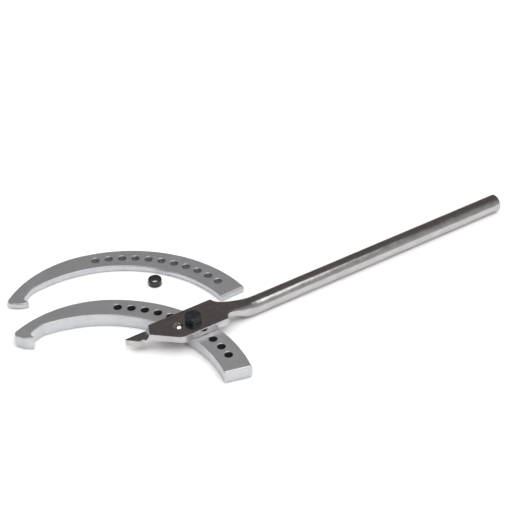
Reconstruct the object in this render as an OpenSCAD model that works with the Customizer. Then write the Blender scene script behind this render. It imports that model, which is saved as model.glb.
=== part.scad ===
// Adjustable hook spanner used as a case back opener, with a spare hook arm and a spacer.
// Origin: pivot bolt axis, on the underside of the fitted hook arm. +X runs along the handle.

/* [Hook arms] */
// radius of the row of holes
hole_row_r = 88.9; // [60:0.1:140]
// angle between neighbouring holes
hole_step = 5.787; // [4:0.001:10]
// number of holes in the row
hole_count = 11; // [3:1:15]
// hole in use, counted from the hook, starting at 0
hole_used = 6; // [0:1:10]
// threaded hole, inside the thread
hole_r = 2.5; // [1:0.05:5]
// countersink at both faces
sink_r = 3.4; // [1.5:0.05:6]
// outer edge beside the holes
outer_r = 96.5; // [65:0.1:150]
// outer edge beside the hook, which is curved more
hook_outer_r = 70.8; // [40:0.1:120]
// inner edge, which bears on the work
inner_r = 83.0; // [55:0.1:130]
// thickness of the fitted arm
arm_t = 10; // [4:0.1:16]
// thickness of the spare arm
spare_t = 5; // [2:0.1:12]
// where the spare arm lies: its arc centre
spare_x = -47.5; // [-120:0.1:60]
// where the spare arm lies: its arc centre
spare_y = 16.2; // [-20:0.1:80]
// direction of the spare arm's first hole
spare_turn = 70.3; // [0:0.1:180]

/* [Handle] */
// width of the flat plate
plate_w = 23; // [14:0.1:40]
// thickness of the flat plate and the tooth
plate_t = 5; // [3:0.1:10]
// where the plate ends and the neck starts
shoulder_x = 19.6; // [12:0.1:40]
// radius of the round bar
bar_r = 6; // [3:0.1:12]
// far end of the bar
bar_end = 244; // [120:1:400]
// where the bar's full radius starts
bar_start = 49; // [45:0.5:80]
// height of the bar's axis
bar_z = 6; // [5:0.1:16]
// chamfer on the bar's end
bar_chamfer = 1.2; // [0:0.1:3]
// radius of the hollow at the neck
neck_r = 6.1; // [2:0.1:15]
// half the neck's width where it meets the bar
neck_hw = 5.7; // [3:0.1:10]

/* [Fasteners] */
// radius of the bolt's plain shank
bolt_r = 3; // [2:0.05:6]
// bore in the plate for the bolt
bolt_bore_r = 3.06; // [2:0.01:6]
// bolt head across its flats
head_af = 10; // [5:0.1:20]
// height of the bolt head
head_h = 4; // [2:0.1:10]
// length of the bolt under its head
bolt_len = 14; // [8:0.1:40]
// where the stop pin stands, from the bolt
stop_x = -10.9; // [-20:0.01:-8]
// radius of the stop pin
stop_r = 1.5; // [1:0.05:3]
// radius of the stop pin's domed head
stop_head_r = 3.2; // [2:0.05:5]
// height of the stop pin's domed head
stop_head_h = 1.7; // [0.5:0.05:3]

/* [Spacer] */
// outside radius of the spacer
spacer_r = 4.5; // [3.5:0.05:9]
// bore radius of the spacer
spacer_bore_r = 3.25; // [3:0.05:8]
// height of the spacer
spacer_h = 4.5; // [1:0.1:15]
// where the spacer stands
spacer_x = 6.2; // [-60:0.1:60]
// where the spacer stands
spacer_y = 61.2; // [0:0.1:120]

/* [Hidden] */
$fn = 96;
gap = 0.05;
plate_z = arm_t + gap;
plate_top = plate_z + plate_t;
used_a = hole_used * hole_step;
arm_turn = 18.2 + used_a;
arm_x = -hole_row_r * cos(18.2);
arm_y = -hole_row_r * sin(18.2);
outer_off = [1.41, -2.06];
inner_off = [-2.02, 2.06];
bend_a = 6.1;
tail_a = 67.3;
hw = plate_w / 2;

function spot(r, a) = [r * cos(a), r * sin(a)];
function arc(c, r, a0, a1, n) = [for (i = [0 : n]) c + spot(r, a0 + (a1 - a0) * i / n)];

// ---- hook arm, drawn with its arc centre at the origin and the first hole on +X ----

module arm_plan() {
  bend = outer_off + spot(outer_r, bend_a);
  hook_c = bend - spot(hook_outer_r, bend_a);
  out_u = spot(1, -tail_a);
  along_u = spot(1, 90 - tail_a);
  polygon(concat(
    arc(outer_off, outer_r, -66.2, bend_a, 60),                      // outer edge beside the holes
    arc(hook_c, hook_outer_r, bend_a + 1.4, 57, 36),                 // outer edge beside the hook
    arc([60.8, 57.4], 4.5, 62, 150, 8),                             // nose
    arc([64.3, 52.5], 8.5, 145, 196, 8),                             // end face
    arc([57, 49.3], 0.8, 205, 318, 5),                               // corner of the tip
    arc([60.4, 49.2], 1.6, 137, 52, 6),                              // root of the tip
    [[63.2, 49.4], [65.3, 47.9], [67.3, 46.4]],
    arc(inner_off, inner_r, 31, -65.7, 80),                          // inner edge
    arc(spot(80.4, -tail_a) + 1.2 * (out_u + along_u), 1.2, 180 - tail_a, 270 - tail_a, 4),
    arc(spot(98.9, -tail_a) + 1.5 * (along_u - out_u), 1.5, 270 - tail_a, 360 - tail_a, 4)));
}

module arm(t) {
  difference() {
    linear_extrude(t) arm_plan();
    for (i = [0 : hole_count - 1]) {
      translate(concat(spot(hole_row_r, -i * hole_step), 0)) {
        translate([0, 0, -1]) cylinder(r = hole_r, h = t + 2, $fn = 48);
        translate([0, 0, -0.01]) cylinder(r1 = sink_r + 0.01, r2 = hole_r, h = sink_r - hole_r + 0.01, $fn = 48);
        translate([0, 0, t - sink_r + hole_r])
          cylinder(r1 = hole_r, r2 = sink_r + 0.01, h = sink_r - hole_r + 0.01, $fn = 48);
      }
    }
  }
}

module hook_arm() {
  color([0.62, 0.63, 0.65])
    translate([arm_x, arm_y, 0]) rotate([0, 0, arm_turn]) arm(arm_t);
}

module spare_hook_arm() {
  color([0.66, 0.67, 0.69])
    translate([spare_x, spare_y, 0]) rotate([0, 0, spare_turn]) arm(spare_t);
}

// ---- handle: plate, joggled tooth, neck and bar in one forging ----

// plate, tooth and neck from above; the neck narrows to a point inside the bar
module head_plan() {
  neck_x = shoulder_x + neck_r + 0.5;
  difference() {
    polygon(concat(
      [[52, -1], [52, 1]],
      arc([neck_x, neck_hw + neck_r], neck_r, 268, 200, 10),
      arc([shoulder_x - 1, hw - 1], 1, 0, 90, 4),
      [[-26.2, hw], [-29.4, hw + 1.3]],
      arc([-41.6, hw + 0.8], 0.6, 80, 200, 4),
      [[-35.4, 5.7], [-33, 5.9], [-30.4, 3.6]],
      arc([-13.2, -hw + 3.2], 3.2, 228, 270, 4),
      arc([shoulder_x - 1, -hw + 1], 1, 270, 360, 4),
      arc([neck_x, -neck_hw - neck_r], neck_r, 160, 92, 10)));
    translate([-70, -60]) square([28.3, 40]);
  }
}

// side view of the head: flat plate, then the step down to the tooth
module step_side() {
  polygon([[-90, plate_z], [-3, plate_z], [0.5, plate_z - plate_t], [30, plate_z - plate_t],
           [30, plate_z], [2.9, plate_z], [0.2, plate_top], [-90, plate_top]]);
}

module handle_head() {
  difference() {
    intersection() {
      translate([0, 0, plate_z - plate_t - 1]) linear_extrude(2 * plate_t + 2) head_plan();
      translate([-28.5, 7.5, 0]) rotate([0, 0, 157]) rotate([90, 0, 0])
        translate([0, 0, -60]) linear_extrude(120) step_side();
    }
    // the top of the neck falls from the plate into the bar
    rotate([90, 0, 0]) translate([0, 0, -20]) linear_extrude(40)
      polygon([[24, plate_top], [58, plate_top - 5.8], [58, plate_top + 9], [24, plate_top + 9]]);
  }
}

// round bar with a chamfered end; its underside falls away from the plate along the neck
module bar() {
  start = shoulder_x + 1;
  difference() {
    translate([start, 0, bar_z]) rotate([0, 90, 0]) rotate_extrude()
      polygon([[0, 0], [bar_r - 0.1, 0], [bar_r - 0.1, bar_start - start - 1], [bar_r, bar_start - start],
               [bar_r, bar_end - start - bar_chamfer], [bar_r - bar_chamfer, bar_end - start],
               [0, bar_end - start]]);
    rotate([90, 0, 0]) translate([0, 0, -20]) linear_extrude(40)
      polygon([[10, -5], [10, plate_z + 0.7], [21.9, plate_z + 0.7], [41, -1.2], [41, -5]]);
  }
}

module handle() {
  color([0.78, 0.77, 0.75])
    difference() {
      union() {
        handle_head();
        bar();
      }
      translate([0, 0, plate_z - 1]) cylinder(r = bolt_bore_r, h = plate_t + 2);
      translate([stop_x, 0, plate_z - 1]) cylinder(r = stop_r, h = plate_t + 2);
    }
}

// ---- stop pin, riveted through the plate; its shank bears on the arm's inner edge ----

module stop_pin() {
  ball_r = (stop_head_r * stop_head_r + stop_head_h * stop_head_h) / (2 * stop_head_h);
  color([0.83, 0.83, 0.82])
    translate([stop_x, 0, 0]) {
      translate([0, 0, arm_t / 2 + 0.3]) cylinder(r = stop_r, h = plate_top - arm_t / 2 - 0.3);
      intersection() {
        translate([0, 0, plate_top + stop_head_h - ball_r]) sphere(r = ball_r);
        translate([0, 0, plate_top]) cylinder(r = stop_head_r + 1, h = stop_head_h + 1);
      }
    }
}

// ---- pivot bolt: hexagon head, plain shank in the plate, core of the thread in the arm ----

module pivot_bolt() {
  under = plate_top + gap;
  color([0.16, 0.16, 0.17])
    union() {
      intersection() {
        translate([0, 0, under]) cylinder(r = head_af / sqrt(3), h = head_h, $fn = 6);
        union() {
          translate([0, 0, under]) cylinder(r = head_af / sqrt(3) + 1, h = head_h - 0.9);
          translate([0, 0, under + head_h - 0.91])
            cylinder(r1 = head_af / sqrt(3), r2 = head_af / 2 - 0.3, h = 0.91);
        }
      }
      translate([0, 0, arm_t + gap]) cylinder(r = bolt_r, h = under - arm_t);
      translate([0, 0, under - bolt_len]) cylinder(r = hole_r - 0.04, h = bolt_len - 1);
    }
}

// ---- spacer, put under the bolt head with the thin arm ----

module spacer() {
  color([0.18, 0.17, 0.17])
    translate([spacer_x, spacer_y, 0]) difference() {
      union() {
        cylinder(r1 = spacer_r - 0.3, r2 = spacer_r, h = 0.3);
        translate([0, 0, 0.3]) cylinder(r = spacer_r, h = spacer_h - 0.6);
        translate([0, 0, spacer_h - 0.3]) cylinder(r1 = spacer_r, r2 = spacer_r - 0.3, h = 0.3);
      }
      translate([0, 0, -1]) cylinder(r = spacer_bore_r, h = spacer_h + 2);
    }
}

handle();
stop_pin();
hook_arm();
pivot_bolt();
spare_hook_arm();
spacer();
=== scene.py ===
import math

import bmesh
import bpy
import numpy as np
from mathutils import Matrix, Vector


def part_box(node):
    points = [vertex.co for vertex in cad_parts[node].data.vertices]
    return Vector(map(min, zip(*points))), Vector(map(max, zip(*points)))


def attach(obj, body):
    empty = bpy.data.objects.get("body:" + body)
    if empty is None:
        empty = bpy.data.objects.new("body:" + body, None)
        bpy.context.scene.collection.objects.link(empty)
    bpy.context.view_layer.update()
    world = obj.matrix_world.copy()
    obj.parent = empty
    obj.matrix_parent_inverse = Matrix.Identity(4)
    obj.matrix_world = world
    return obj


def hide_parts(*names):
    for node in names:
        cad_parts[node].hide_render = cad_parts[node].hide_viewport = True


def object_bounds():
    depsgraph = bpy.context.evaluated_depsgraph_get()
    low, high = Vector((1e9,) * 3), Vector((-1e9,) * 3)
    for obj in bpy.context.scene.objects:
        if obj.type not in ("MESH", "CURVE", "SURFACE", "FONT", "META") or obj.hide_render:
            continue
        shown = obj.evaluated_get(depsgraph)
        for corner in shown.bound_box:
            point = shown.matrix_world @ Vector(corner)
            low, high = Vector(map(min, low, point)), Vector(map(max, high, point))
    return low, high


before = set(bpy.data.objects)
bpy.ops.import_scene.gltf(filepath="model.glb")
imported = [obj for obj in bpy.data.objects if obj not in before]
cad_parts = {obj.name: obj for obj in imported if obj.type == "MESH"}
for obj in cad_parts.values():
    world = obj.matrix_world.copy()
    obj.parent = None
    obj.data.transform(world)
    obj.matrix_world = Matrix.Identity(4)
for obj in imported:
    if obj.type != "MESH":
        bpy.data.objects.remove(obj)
cadLow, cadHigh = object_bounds()
mm = 0.001
print("frame loaded:", sorted(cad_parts))


# ---- shader maths ----

class Wire:  # one output socket; arithmetic on it adds Math nodes
    def __init__(self, finish, socket):
        self.finish, self.socket = finish, socket

    def calc(self, operation, *parts):
        return self.finish.node("ShaderNodeMath", {"operation": operation}, dict(enumerate(parts)))

    def __add__(self, other): return self.calc("ADD", self, other)
    def __radd__(self, other): return self.calc("ADD", other, self)
    def __sub__(self, other): return self.calc("SUBTRACT", self, other)
    def __rsub__(self, other): return self.calc("SUBTRACT", other, self)
    def __mul__(self, other): return self.calc("MULTIPLY", self, other)
    def __rmul__(self, other): return self.calc("MULTIPLY", other, self)


class Finish:  # a material, or the studio's surround, that is being built
    def __init__(self, name, store=bpy.data.materials):
        self.made = store.new(name)
        self.made.use_nodes = True
        self.tree = self.made.node_tree
        self.tree.nodes.clear()

    def node(self, kind, settings=None, inputs=None, output=0):
        made = self.tree.nodes.new(kind)
        for key, value in (settings or {}).items():
            setattr(made, key, value)
        for key, value in (inputs or {}).items():
            if isinstance(value, Wire):
                self.tree.links.new(value.socket, made.inputs[key])
            else:
                made.inputs[key].default_value = value
        return Wire(self, made.outputs[output])

    def place(self, stretch=(1, 1, 1)):  # a point on the piece, in metres, stretched for directional marks
        here = self.node("ShaderNodeTexCoord", output="Object")
        return self.node("ShaderNodeMapping", {}, {"Vector": here, "Scale": stretch})

    def noise(self, where, scale, detail=2, rough=0.5):
        return self.node("ShaderNodeTexNoise", {}, {"Vector": where, "Scale": scale, "Detail": detail,
                                                    "Roughness": rough})

    def band(self, value, low, high, toLow=0.0, toHigh=1.0):  # value remapped and clamped
        return self.node("ShaderNodeMapRange", {"clamp": True},
                         {"Value": value, "From Min": low, "From Max": high, "To Min": toLow, "To Max": toHigh})

    def blend(self, share, first, second):  # two colours
        return self.node("ShaderNodeMix", {"data_type": "RGBA"}, {0: share, 6: first, 7: second}, output=2)

    def done(self, **values):
        shader = self.node("ShaderNodeBsdfPrincipled", {}, {k.replace("_", " "): v for k, v in values.items()})
        self.output("ShaderNodeOutputMaterial", shader)
        return self.made

    def output(self, kind, shader):
        self.tree.links.new(shader.socket, self.tree.nodes.new(kind).inputs["Surface"])


def rgba(*tone):
    return (*tone, 1)


def silverPaint():
    f = Finish("silver_paint_on_cast_arm")
    here = f.place()
    grain = f.noise(here, 1900, 3, 0.6)       # fine metallic paint grain
    peel = f.noise(here, 420, 2, 0.5)         # orange peel left by spraying
    cast = f.noise(here, 95, 3, 0.55)         # cast surface under the paint
    height = grain * 0.25 + peel * 0.45 + cast * 0.9
    tone = f.band(cast * 0.6 + grain * 0.4, 0.35, 0.65)
    return f.done(Base_Color=f.blend(tone, rgba(0.50, 0.512, 0.532), rgba(0.58, 0.59, 0.61)),
                  Metallic=0.8, Roughness=f.band(peel, 0.3, 0.7, 0.34, 0.44),
                  Normal=f.node("ShaderNodeBump", {}, {"Strength": 0.35, "Distance": 0.0002, "Height": height}))


# Hole walls: a dark finish that is painted shade of the recess, partly the bare thread's own darker metal.
def threadedBorePaintedShade(name, paintedLightLevel):
    f = Finish(name)
    here = f.place()
    up = f.node("ShaderNodeSeparateXYZ", {}, {"Vector": here}, output=2)
    pitch = (up * 1000).calc("PINGPONG", up * 1000, 0.5) * 2          # one millimetre thread
    grime = f.noise(here, 700, 3, 0.6)
    # Both bore tones scale with the painted light level: lit and shaded copies of one thread finish.
    dark, pale = rgba(0.05 * paintedLightLevel, 0.05 * paintedLightLevel, 0.055 * paintedLightLevel), rgba(0.16 * paintedLightLevel, 0.16 * paintedLightLevel, 0.17 * paintedLightLevel)
    # Base colour is darker in the thread roots and paler on the crests, one band per millimetre: painted shade
    # and painted highlight, mixed with some grime noise.
    return f.done(Base_Color=f.blend(pitch * 0.7 + grime * 0.3, dark, pale), Metallic=0.7,
                  Roughness=f.band(grime, 0.3, 0.7, 0.4, 0.55),
                  Normal=f.node("ShaderNodeBump", {}, {"Strength": 0.6, "Distance": 0.0003, "Height": pitch}))


def brightPlate():
    f = Finish("bright_nickel_plate")
    rolled = f.place((0.16, 1, 1))            # long marks along the rolled bar
    dents = f.noise(f.place((0.55, 1, 1)), 240, 2, 0.5)
    wave = f.noise(rolled, 330, 3, 0.55)
    fine = f.noise(rolled, 1500, 2, 0.6)
    height = dents * 0.8 + wave * 0.5 + fine * 0.1
    tone = f.band(dents, 0.3, 0.7)
    return f.done(Base_Color=f.blend(tone, rgba(0.43, 0.42, 0.422), rgba(0.52, 0.508, 0.512)),
                  Metallic=1.0, Roughness=f.band(wave, 0.3, 0.7, 0.17, 0.26),
                  Normal=f.node("ShaderNodeBump", {}, {"Strength": 0.35, "Distance": 0.0003, "Height": height}))


def rivetPlate():
    f = Finish("polished_rivet")
    here = f.place()
    marks = f.noise(here, 900, 3, 0.6)
    return f.done(Base_Color=f.blend(marks, rgba(0.70, 0.69, 0.67), rgba(0.82, 0.81, 0.79)),
                  Metallic=1.0, Roughness=f.band(marks, 0.3, 0.7, 0.1, 0.2),
                  Normal=f.node("ShaderNodeBump", {}, {"Strength": 0.2, "Distance": 0.0001, "Height": marks}))


def blackOxide():
    f = Finish("black_oxide_bolt")
    here = f.place()
    grain = f.noise(here, 1400, 3, 0.6)
    worn = f.band(f.noise(here, 380, 3, 0.6), 0.45, 0.75)
    return f.done(Base_Color=f.blend(worn, rgba(0.018, 0.018, 0.020), rgba(0.045, 0.045, 0.048)),
                  Metallic=0.35, Roughness=f.band(grain, 0.3, 0.7, 0.38, 0.52),
                  Normal=f.node("ShaderNodeBump", {}, {"Strength": 0.25, "Distance": 0.0001, "Height": grain}))


def blackSleeve():
    f = Finish("black_turned_spacer")
    here = f.place((1, 1, 6))                 # turning marks round the sleeve
    turned = f.noise(here, 900, 2, 0.5)
    return f.done(Base_Color=f.blend(turned, rgba(0.010, 0.010, 0.011), rgba(0.030, 0.028, 0.028)),
                  Metallic=0.2, Roughness=f.band(turned, 0.3, 0.7, 0.25, 0.36),
                  Normal=f.node("ShaderNodeBump", {}, {"Strength": 0.2, "Distance": 0.0001, "Height": turned}))


paint, plate, rivet, oxide, sleeve = silverPaint(), brightPlate(), rivetPlate(), blackOxide(), blackSleeve()
# The same thread in both arms, painted at two brightnesses: darker in the deep thick arm as painted shade,
# lighter in the thin arm as painted floor light.
boreShadeFinish = {"hook_arm": threadedBorePaintedShade("thick_arm_bore_painted_deep_shade", 0.7),
              "spare_hook_arm": threadedBorePaintedShade("thin_arm_bore_painted_floor_light", 2.4)}
print("finishes made")


# ---- mesh helpers, in millimetres until a piece is placed ----

def spot(r, degrees):
    a = math.radians(degrees)
    return np.array([r * math.cos(a), r * math.sin(a)])


def arc(centre, r, start, end, steps):
    return [np.array(centre) + spot(r, start + (end - start) * i / steps) for i in range(steps + 1)]


def addPiece(name, mesh, material, body, node):
    piece = bpy.data.objects.new(name, mesh)
    bpy.context.scene.collection.objects.link(piece)
    mesh.materials.clear()
    mesh.materials.append(material)
    for face in mesh.polygons:
        face.use_smooth = True
    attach(piece, body)
    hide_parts(node)
    return piece


def keepFlat(piece, weight):  # large faces keep their shading flat beside rounded edges
    weighted = piece.modifiers.new("flat faces", "WEIGHTED_NORMAL")
    weighted.mode, weighted.weight, weighted.keep_sharp = "FACE_AREA", weight, False


def bakeModifiers(piece):
    graph = bpy.context.evaluated_depsgraph_get()
    made = bpy.data.meshes.new_from_object(piece.evaluated_get(graph))
    piece.modifiers.clear()
    piece.data = made


def gridMesh(name, rings, closeStart=True, closeEnd=True):  # rings of points, each ring closed on itself
    verts = [tuple(p) for ring in rings for p in ring]
    n = len(rings[0])
    faces = []
    for i in range(len(rings) - 1):
        for j in range(n):
            k = (j + 1) % n
            faces.append((i * n + j, i * n + k, (i + 1) * n + k, (i + 1) * n + j))
    if closeStart:
        faces.append(tuple(reversed(range(n))))
    if closeEnd:
        faces.append(tuple((len(rings) - 1) * n + j for j in range(n)))
    mesh = bpy.data.meshes.new(name)
    mesh.from_pydata(verts, [], faces)
    made = bmesh.new()
    made.from_mesh(mesh)
    bmesh.ops.recalc_face_normals(made, faces=made.faces)
    made.to_mesh(mesh)
    made.free()
    return mesh


def turned(name, profile, steps=64):  # a lathe form about +Z from (radius, height) points
    rings = [[(r * math.cos(2 * math.pi * j / steps), r * math.sin(2 * math.pi * j / steps), z)
              for j in range(steps)] for r, z in profile]
    return gridMesh(name, rings)


def moveMesh(mesh, scale, shift):
    mesh.transform(Matrix.Translation(Vector(shift)) @ Matrix.Scale(scale, 4))


# ---- hook arms ----

armShape = {"row": 88.9, "step": 5.787, "count": 11, "hole": 2.5, "outer": 95.2, "hookOuter": 69.5,
            "inner": 83.0, "bend": 6.1, "tail": 67.3, "rim": 0.85, "cornerSteps": 5, "crown": 1.2,
            "drawnIn": 0.55, "tailRound": 0.9}


def armOutline():  # points of the top edge, and how far the wall below each one is crowned, from 0 to 1
    s = armShape
    outerOff, innerOff = np.array([1.41, -2.06]), np.array([-2.02, 2.06])
    bend = outerOff + spot(s["outer"], s["bend"])
    hookCentre = bend - spot(s["hookOuter"], s["bend"])
    out, along, r = spot(1, -s["tail"]), spot(1, 90 - s["tail"]), s["tailRound"]
    parts = [(arc(outerOff, s["outer"], -66.2, s["bend"], 90), 1, 1),
             (arc(hookCentre, s["hookOuter"], s["bend"] + 1, 57, 50), 1, 0.8),
             (arc([60.8, 57.4], 3.5, 60, 168, 14), 0.8, 0.2),                       # nose of the hook
             (arc([64.3, 52.5], 8.5, 145, 196, 10), 0.2, 0.1),
             (arc([57, 49.3], 1.0, 205, 318, 9), 0.1, 0),                           # corner of the tip
             (arc([60.4, 49.2], 1.6, 137, 52, 9), 0, 0),
             ([np.array(p) for p in ([63.2, 49.4], [65.3, 47.9], [67.3, 46.4])], 0, 0),
             (arc(innerOff, s["inner"], 31, -65.7, 120), 0, 0),
             (arc(spot(80.4, -s["tail"]) + r * (out + along), r, 180 - s["tail"], 270 - s["tail"], 8), 0, 0.2),
             (arc(spot(97.6, -s["tail"]) + r * (along - out), r, 270 - s["tail"], 360 - s["tail"], 8), 0.4, 1)]
    points = [p for loop, first, last in parts for p in loop]
    crown = [c for loop, first, last in parts for c in np.linspace(first, last, len(loop))]
    return np.array(points), np.array(crown)


def shapeWalls(mesh, thick):  # crowns the outer wall and draws the foot in, before the arm is turned
    s = armShape
    outline, crown = armOutline()
    ahead, behind = np.roll(outline, -1, 0), np.roll(outline, 1, 0)
    side = ahead - behind
    outward = np.stack([side[:, 1], -side[:, 0]], 1) / np.linalg.norm(side, axis=1)[:, None]
    for v in mesh.vertices:
        here = np.array([v.co.x, v.co.y])
        away = np.linalg.norm(outline - here, axis=1)
        i = int(away.argmin())
        if away[i] > 1.3 * s["rim"]:
            continue
        height = min(max((v.co.z + thick / 2) / thick, 0), 1)              # 0 at the foot, 1 at the top
        shift = crown[i] * s["crown"] * (1 - (2 * abs(height - 0.5)) ** 2.2)
        shift -= s["drawnIn"] * max(0, 1 - 2.2 * height) ** 1.5
        v.co.x += outward[i][0] * shift
        v.co.y += outward[i][1] * shift


def armMesh(name, thick, turn):
    s = armShape
    curve = bpy.data.curves.new(name, "CURVE")
    curve.dimensions, curve.fill_mode = "2D", "BOTH"
    curve.extrude = thick / 2 - s["rim"]
    curve.bevel_depth, curve.bevel_resolution, curve.offset = s["rim"], s["cornerSteps"], -s["rim"]
    holes = [arc(spot(s["row"], -i * s["step"]), s["hole"], 0, 352.5, 47) for i in range(s["count"])]
    loops = [armOutline()[0]] + holes
    for loop in loops:
        line = curve.splines.new("POLY")
        line.points.add(len(loop) - 1)
        for point, (x, y) in zip(line.points, loop):
            point.co = (x, y, 0, 1)
        line.use_cyclic_u = True
    shape = bpy.data.objects.new(name, curve)
    bpy.context.scene.collection.objects.link(shape)
    bpy.context.view_layer.update()
    mesh = bpy.data.meshes.new_from_object(shape.evaluated_get(bpy.context.evaluated_depsgraph_get()))
    bpy.data.objects.remove(shape)
    made = bmesh.new()
    made.from_mesh(mesh)
    bmesh.ops.remove_doubles(made, verts=made.verts, dist=0.002)
    for share in (-0.85, -0.6, -0.3, 0, 0.3, 0.6, 0.85):
        bmesh.ops.bisect_plane(made, geom=made.verts[:] + made.edges[:] + made.faces[:], dist=0.0001,
                               plane_co=(0, 0, share * (thick / 2 - s["rim"])), plane_no=(0, 0, 1))
    bmesh.ops.recalc_face_normals(made, faces=made.faces)
    made.to_mesh(mesh)
    made.free()
    shapeWalls(mesh, thick)
    mesh.transform(Matrix.Rotation(math.radians(turn), 4, "Z") @ Matrix.Scale(mm, 4))
    return mesh


# The hole walls take the second material, the painted shade of the bores.
def markBores(mesh, thick, turn):  # the second material goes on the walls of the holes
    s = armShape
    centres = [spot(s["row"], turn - i * s["step"]) * mm for i in range(s["count"])]
    for face in mesh.polygons:
        near = min(math.hypot(face.center.x - c[0], face.center.y - c[1]) for c in centres)
        if near < (s["hole"] + 0.3) * mm and abs(face.normal.z) < 0.75:
            face.material_index = 1


def makeArm(node, body, thick, centre, turn):  # centre is the arc's centre
    mesh = armMesh(node, thick, turn)
    markBores(mesh, thick, turn)
    mesh.transform(Matrix.Translation((centre[0] * mm, centre[1] * mm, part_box(node)[0].z + thick / 2 * mm)))
    bores = [face.index for face in mesh.polygons if face.material_index == 1]
    piece = addPiece(node + "_painted", mesh, paint, body, node)
    mesh.materials.append(boreShadeFinish[node])
    for index in bores:
        mesh.polygons[index].material_index = 1
    keepFlat(piece, 90)
    return piece


holeUsed, rowTilt = 6, 18.2                             # the bolt is in this hole, at the origin
hookArm = makeArm("hook_arm", "hook", 10, -spot(armShape["row"], rowTilt),
                  rowTilt + holeUsed * armShape["step"])
spareArm = makeArm("spare_hook_arm", "spare", 5, (-47.5, 16.2), 70.3)
print("hook arms made:", len(hookArm.data.vertices), len(spareArm.data.vertices))


# ---- handle ----

handleShape = {"thick": 5, "axis": 6, "end": 244, "endRound": 1.2, "boltHole": 3.06, "pinHole": 1.5,
               "pinX": -10.9, "drillMiddle": 12.5, "drillHalf": 8}


def profile(table, x):  # straight lines through (x, value) points
    xs, ys = zip(*sorted(table))
    return float(np.interp(x, xs, ys))


handleBack = ([(-42.2, 12.35), (-42.05, 12.62), (-41.7, 12.86), (-41.2, 12.93), (-29.4, 12.8), (-28.2, 12.4),
               (-26.6, 11.7), (-25.6, 11.5), (18.6, 11.5)]
              + [tuple(p) for p in arc([18.6, 10.5], 1, 80, 10, 5)])
handleNeck = [(19.75, 9.9), (20.1, 9.1), (20.6, 8.4), (21.4, 7.6), (22.4, 6.95), (23.8, 6.4), (25.6, 6.0),
              (28, 5.8), (33, 5.75), (40, 5.85), (48, 6.0), (244, 6.0)]
handleFront = ([(-42.2, 12.2), (-35.6, 5.9), (-35.1, 5.62), (-33.1, 5.85), (-32.6, 5.6), (-30.4, 3.6)]
               + [(-15.35, -9.86), (-14.9, -10.2), (-14.3, -10.65), (-13.6, -11.05), (-12.8, -11.35),
                  (-11.8, -11.5), (18.6, -11.5)]
               + [(p[0], -p[1]) for p in arc([18.6, 10.5], 1, 80, 10, 5)])
handleTop = [(-50, 15.05), (22.5, 15.05), (24, 14.98), (26, 14.72), (30, 13.98), (36, 12.85), (41, 12.15),
             (45, 12.0), (244, 12.0)]
handleBottom = [(-50, 10.05), (22.2, 10.05), (23.4, 9.85), (25, 9.1), (30, 5.95), (36, 2.1), (38.5, 0.75),
                (41, 0.12), (43, 0), (244, 0)]
cornerWidth = [(-50, 0.45), (19.7, 0.45), (22, 1.4), (26, 2.6), (34, 3.9), (42, 5.2), (48, 6), (244, 6)]
cornerHeight = [(-50, 0.45), (19.7, 0.45), (22, 0.8), (26, 2.2), (34, 4.6), (42, 5.8), (48, 6), (244, 6)]


def handleRing(x, shrink=0.0):
    back = profile(handleBack + handleNeck, x) - shrink
    front = profile(handleFront + [(a, -b) for a, b in handleNeck], x) + shrink
    top, bottom = profile(handleTop, x) - shrink, profile(handleBottom, x) + shrink
    halfW, halfH = (back - front) / 2, (top - bottom) / 2
    midY, midZ = (back + front) / 2, (top + bottom) / 2
    ry, rz = min(profile(cornerWidth, x), halfW), min(profile(cornerHeight, x), halfH)
    flat, wall, corner = 26, 6, 8
    ring = []
    for signY, signZ, start in ((1, 1, 0), (-1, 1, 90), (-1, -1, 180), (1, -1, 270)):
        centreY, centreZ = midY + signY * (halfW - ry), midZ + signZ * (halfH - rz)
        for i in range(corner + 1):
            a = math.radians(start + 90 * i / corner)
            ring.append((x, centreY + ry * math.cos(a), centreZ + rz * math.sin(a)))
        steps = flat if start in (0, 180) else wall    # the flat that follows this corner
        a = math.radians(start + 90)
        y0, z0 = centreY + ry * math.cos(a), centreZ + rz * math.sin(a)
        if start in (0, 180):
            y1, z1 = midY - signY * (halfW - ry), z0
        else:
            y1, z1 = y0, midZ - signZ * (halfH - rz)
        ring += [(x, y0 + (y1 - y0) * i / steps, z0 + (z1 - z0) * i / steps) for i in range(1, steps)]
    return ring


def joggle(point):  # the nose steps down by one plate thickness along its own direction
    x, y, z = point
    if x > -20:
        return point
    a = math.radians(157)
    u = (x + 28.5) * math.cos(a) + (y - 7.5) * math.sin(a)
    share = min(max((u + 1.4) / 3.1, 0), 1)
    share = share * share * (3 - 2 * share)
    return (x, y, z - handleShape["thick"] * share)


def handleMesh():
    s = handleShape
    stations = sorted(set(
        [round(x, 3) for x in np.arange(-42.2, -25, 0.3)] + [-42.17, -42.1]
        + [round(x, 3) for x in np.arange(-25, 18.5, 1.0)]
        + [-15.35, -14.9, -14.3, -13.6, -12.8, -11.8, -30.4]
        + [round(x, 3) for x in np.arange(18.5, 21.5, 0.1)]
        + [round(x, 3) for x in np.arange(21.5, 49, 0.5)]
        + [round(x, 3) for x in np.arange(49, s["end"] - s["endRound"], 3.0)]))
    rings = [[joggle(p) for p in handleRing(x)] for x in stations]
    for i in range(7):                                  # rounded far end
        a = math.radians(90 * i / 6)
        inset = s["endRound"] * (1 - math.cos(a))
        rings.append(handleRing(s["end"] - s["endRound"] * (1 - math.sin(a)), inset))
    rim = rings[-1]
    for share in (0.7, 0.35, 0.02):                     # flat end face
        rings.append([(s["end"], y * share, s["axis"] + (z - s["axis"]) * share) for x, y, z in rim])
    mesh = gridMesh("handle_forged", rings)
    mesh.transform(Matrix.Scale(mm, 4))
    return mesh


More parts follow.
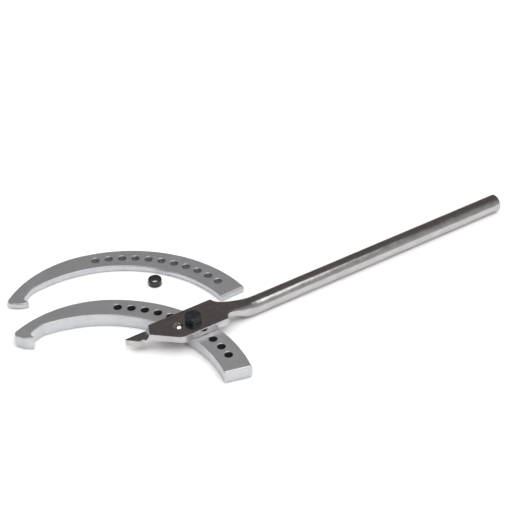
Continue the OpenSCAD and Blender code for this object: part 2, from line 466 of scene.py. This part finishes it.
def cutHoles(piece, places):
    drillHalf = handleShape["drillHalf"]
    for x, r in places:
        tool = bpy.data.objects.new("drill", turned("drill", [(r, -drillHalf), (r, drillHalf)], 48))
        moveMesh(tool.data, mm, (x * mm, 0, handleShape["drillMiddle"] * mm))
        bpy.context.scene.collection.objects.link(tool)
        cut = piece.modifiers.new("hole", "BOOLEAN")
        cut.operation, cut.solver, cut.object = "DIFFERENCE", "EXACT", tool
        bpy.context.view_layer.update()
        bakeModifiers(piece)
        bpy.data.objects.remove(tool)


handlePiece = addPiece("handle_plated", handleMesh(), plate, "handle", "handle")
cutHoles(handlePiece, [(0, handleShape["boltHole"]), (handleShape["pinX"], handleShape["pinHole"])])
for face in handlePiece.data.polygons:
    face.use_smooth = True
keepFlat(handlePiece, 80)
print("handle made:", len(handlePiece.data.vertices))


# ---- stop pin ----

pinShape = {"shank": 1.5, "low": 5.3, "seat": 15.05, "head": 3.2, "height": 1.7}


def pinMesh():
    s = pinShape
    dome = (s["head"] ** 2 + s["height"] ** 2) / (2 * s["height"])
    reach = math.degrees(math.asin(s["head"] / dome))
    shank = [(0.02, s["low"]), (s["shank"] - 0.2, s["low"]), (s["shank"], s["low"] + 0.2),
             (s["shank"], s["seat"])]
    rim = [(s["head"] - 0.1, s["seat"]), (s["head"], s["seat"] + 0.06), (s["head"], s["seat"] + 0.14)]
    cap = [(dome * math.sin(math.radians(a)), s["seat"] + s["height"] - dome * (1 - math.cos(math.radians(a))))
           for a in np.linspace(reach * 0.97, 0.4, 14)]
    mesh = turned("stop_pin_riveted", shank + rim + cap, 56)
    moveMesh(mesh, mm, (handleShape["pinX"] * mm, 0, 0))
    return mesh


pinPiece = addPiece("stop_pin_riveted", pinMesh(), rivet, "handle", "stop_pin")
print("stop pin made")


# ---- pivot bolt ----

boltShape = {"flats": 10, "seat": 15.1, "headHeight": 4, "shank": 3, "plain": 5.1, "length": 14, "root": 2.42,
             "crest": 2.92, "pitch": 1.0}


def boltMesh():
    s = boltShape
    top, n = s["seat"] + s["headHeight"], 96
    angles = [2 * math.pi * j / n for j in range(n)]

    def hexAt(a, r=s["flats"] / 2):                      # corners on +X
        return r / math.cos((a % (math.pi / 3)) - math.pi / 6)

    def ring(radius, z):
        return [(radius(a) * math.cos(a), radius(a) * math.sin(a), z(a)) for a in angles]

    flatTop = s["flats"] / 2 - 0.3
    slope = math.tan(math.radians(30))
    rings = [ring(lambda a: 0.05, lambda a: top), ring(lambda a: flatTop - 0.12, lambda a: top),
             ring(lambda a: flatTop + 0.05, lambda a: top - 0.05)]
    for share in (0.35, 0.7, 0.93):
        rings.append(ring(lambda a: flatTop + (hexAt(a) - flatTop) * share,
                          lambda a: top - (hexAt(a) - flatTop) * share * slope - 0.03))
    rings.append(ring(hexAt, lambda a: top - (hexAt(a) - flatTop) * slope - 0.12))
    rings.append(ring(hexAt, lambda a: s["seat"] + 0.3))
    rings.append(ring(lambda a: hexAt(a) - 0.12, lambda a: s["seat"] + 0.08))
    rings.append(ring(lambda a: hexAt(a) - 0.3, lambda a: s["seat"]))
    rings.append(ring(lambda a: s["shank"] + 0.25, lambda a: s["seat"]))
    rings.append(ring(lambda a: s["shank"], lambda a: s["seat"] - 0.2))
    threadTop = s["seat"] - s["plain"]
    rings.append(ring(lambda a: s["shank"], lambda a: threadTop + 0.1))
    rings.append(ring(lambda a: s["root"], lambda a: threadTop - 0.4))
    low = s["seat"] - s["length"]
    turns = (threadTop - 0.9 - low - 0.9) / s["pitch"]
    steps = int(turns * 8)
    for i in range(steps + 1):                            # each ring climbs with the angle, making a helix
        fade = min(1, i / 6, (steps - i) / 6)
        base = threadTop - 0.9 - i * s["pitch"] / 8

        def ridge(a, base=base, fade=fade):
            phase = (base / s["pitch"] - a / (2 * math.pi)) % 1
            return s["root"] + (s["crest"] - s["root"]) * fade * max(0, 1 - abs(phase - 0.5) * 2.6)
        rings.append(ring(ridge, lambda a, base=base: base))
    rings.append(ring(lambda a: s["root"] - 0.1, lambda a: low + 0.5))
    rings.append(ring(lambda a: s["root"] - 0.6, lambda a: low))
    rings.append(ring(lambda a: 0.05, lambda a: low))
    mesh = gridMesh("pivot_bolt_hex", rings)
    moveMesh(mesh, mm, (0, 0, 0))
    return mesh


boltPiece = addPiece("pivot_bolt_hex", boltMesh(), oxide, "bolt", "pivot_bolt")
keepFlat(boltPiece, 80)
print("pivot bolt made")


# ---- spacer ----

spacerShape = {"outer": 4.5, "bore": 3.25, "height": 4.5, "chamfer": 0.35, "soft": 0.12}


def spacerMesh():
    s = spacerShape
    r, b, h, c, e = s["outer"], s["bore"], s["height"], s["chamfer"], s["soft"]
    low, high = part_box("spacer")
    outline = [(b + c, 0), (r - c - e, 0), (r - c, 0.03), (r - e, c * 0.7), (r, c + e), (r, h - c - e),
               (r - e, h - c * 0.7), (r - c, h - 0.03), (r - c - e, h), (b + c, h), (b + c * 0.6, h - 0.03),
               (b + 0.04, h - c * 0.8), (b, h - c - e), (b, c + e), (b + 0.04, c * 0.8), (b + c * 0.6, 0.03)]
    rings = [[(q * math.cos(2 * math.pi * j / 72), q * math.sin(2 * math.pi * j / 72), z) for q, z in outline]
             for j in range(72)]
    mesh = gridMesh("spacer_sleeve", rings + [rings[0]], closeStart=False, closeEnd=False)
    made = bmesh.new()
    made.from_mesh(mesh)
    bmesh.ops.remove_doubles(made, verts=made.verts, dist=0.001)
    bmesh.ops.recalc_face_normals(made, faces=made.faces)
    made.to_mesh(mesh)
    made.free()
    centre = (low + high) / 2
    moveMesh(mesh, mm, (centre.x, centre.y, 0))
    return mesh


spacerPiece = addPiece("spacer_sleeve", spacerMesh(), sleeve, "sleeve", "spacer")
keepFlat(spacerPiece, 70)
print("spacer made")


# ---- floor, lights and camera ----

studio = {"floorSize": 8.0, "keyHigh": 1.05, "keyLeft": -0.70, "keyRight": 0.64, "keyFront": -1.25,
          "keyBack": -0.26, "keyPower": 11, "fillHigh": 1.9, "fillSize": 3.4, "fillPower": 62,
          "dark": (0.15, 0.135, 0.13),
          "pale": (0.62, 0.61, 0.61), "paleFrom": (0.1, -1, 0),
          "camera": (-350.4, -653.2, 641.5), "azimuth": 58.643, "down": 37.96, "roll": -1.7725, "lens": 108.64}


def makeFloor():
    half = studio["floorSize"] / 2
    mesh = bpy.data.meshes.new("studio_floor")
    corners = [(-half, -half, 0), (half, -half, 0), (half, half, 0), (-half, half, 0)]
    mesh.from_pydata(corners, [], [(0, 1, 2, 3)])
    floor = bpy.data.objects.new("studio_floor", mesh)
    bpy.context.scene.collection.objects.link(floor)
    f = Finish("pale_floor")
    mesh.materials.append(f.done(Base_Color=rgba(0.86, 0.86, 0.86), Roughness=0.9, Specular_IOR_Level=0.1))
    floor.location.z = -0.00005


def softLight(name, place, sizeX, sizeY, power, inReflections=True):  # a flat panel facing down
    lamp = bpy.data.lights.new(name, "AREA")
    lamp.shape, lamp.size, lamp.size_y, lamp.energy = "RECTANGLE", sizeX, sizeY, power
    holder = bpy.data.objects.new(name, lamp)
    bpy.context.scene.collection.objects.link(holder)
    holder.location = place
    holder.visible_glossy = inReflections
    return holder


def makeLights():
    s = studio
    keyPlace = ((s["keyLeft"] + s["keyRight"]) / 2, (s["keyFront"] + s["keyBack"]) / 2, s["keyHigh"])
    softLight("key_softbox", keyPlace, s["keyRight"] - s["keyLeft"], s["keyBack"] - s["keyFront"], s["keyPower"])
    middle = (cadLow + cadHigh) / 2
    fillPlace = (middle.x, middle.y, s["fillHigh"])
    softLight("floor_fill", fillPlace, s["fillSize"], s["fillSize"], s["fillPower"], False)


def makeSurround():  # dark behind the object, paler behind the viewer, low down
    s = studio
    f = Finish("studio_surround", bpy.data.worlds)
    here = f.node("ShaderNodeTexCoord", output="Generated")
    facing = f.node("ShaderNodeVectorMath", {"operation": "DOT_PRODUCT"}, {0: here, 1: s["paleFrom"]},
                    output="Value")
    tone = f.blend(f.band(facing, 0.3, 1.0), rgba(*s["dark"]), rgba(*s["pale"]))
    f.output("ShaderNodeOutputWorld", f.node("ShaderNodeBackground", {}, {"Color": tone}))
    bpy.context.scene.world = f.made


makeFloor()
makeLights()
makeSurround()


def makeCamera():
    az, down, roll = (math.radians(studio[k]) for k in ("azimuth", "down", "roll"))
    forward = Vector((math.cos(az) * math.cos(down), math.sin(az) * math.cos(down), -math.sin(down)))
    right = Vector((math.sin(az), -math.cos(az), 0))
    up = right.cross(forward)
    rolledRight = math.cos(roll) * right + math.sin(roll) * up
    rolledUp = -math.sin(roll) * right + math.cos(roll) * up
    data = bpy.data.cameras.new("view_camera")
    data.lens, data.sensor_width = studio["lens"], 36
    data.clip_start, data.clip_end = 0.01, 50
    camera = bpy.data.objects.new("view_camera", data)
    bpy.context.scene.collection.objects.link(camera)
    turn = Matrix((rolledRight, rolledUp, -forward)).transposed().to_4x4()
    camera.matrix_world = Matrix.Translation(Vector(studio["camera"]) * mm) @ turn
    bpy.context.scene.camera = camera


makeCamera()
bpy.context.scene.view_settings.view_transform = "Standard"
print("studio made")
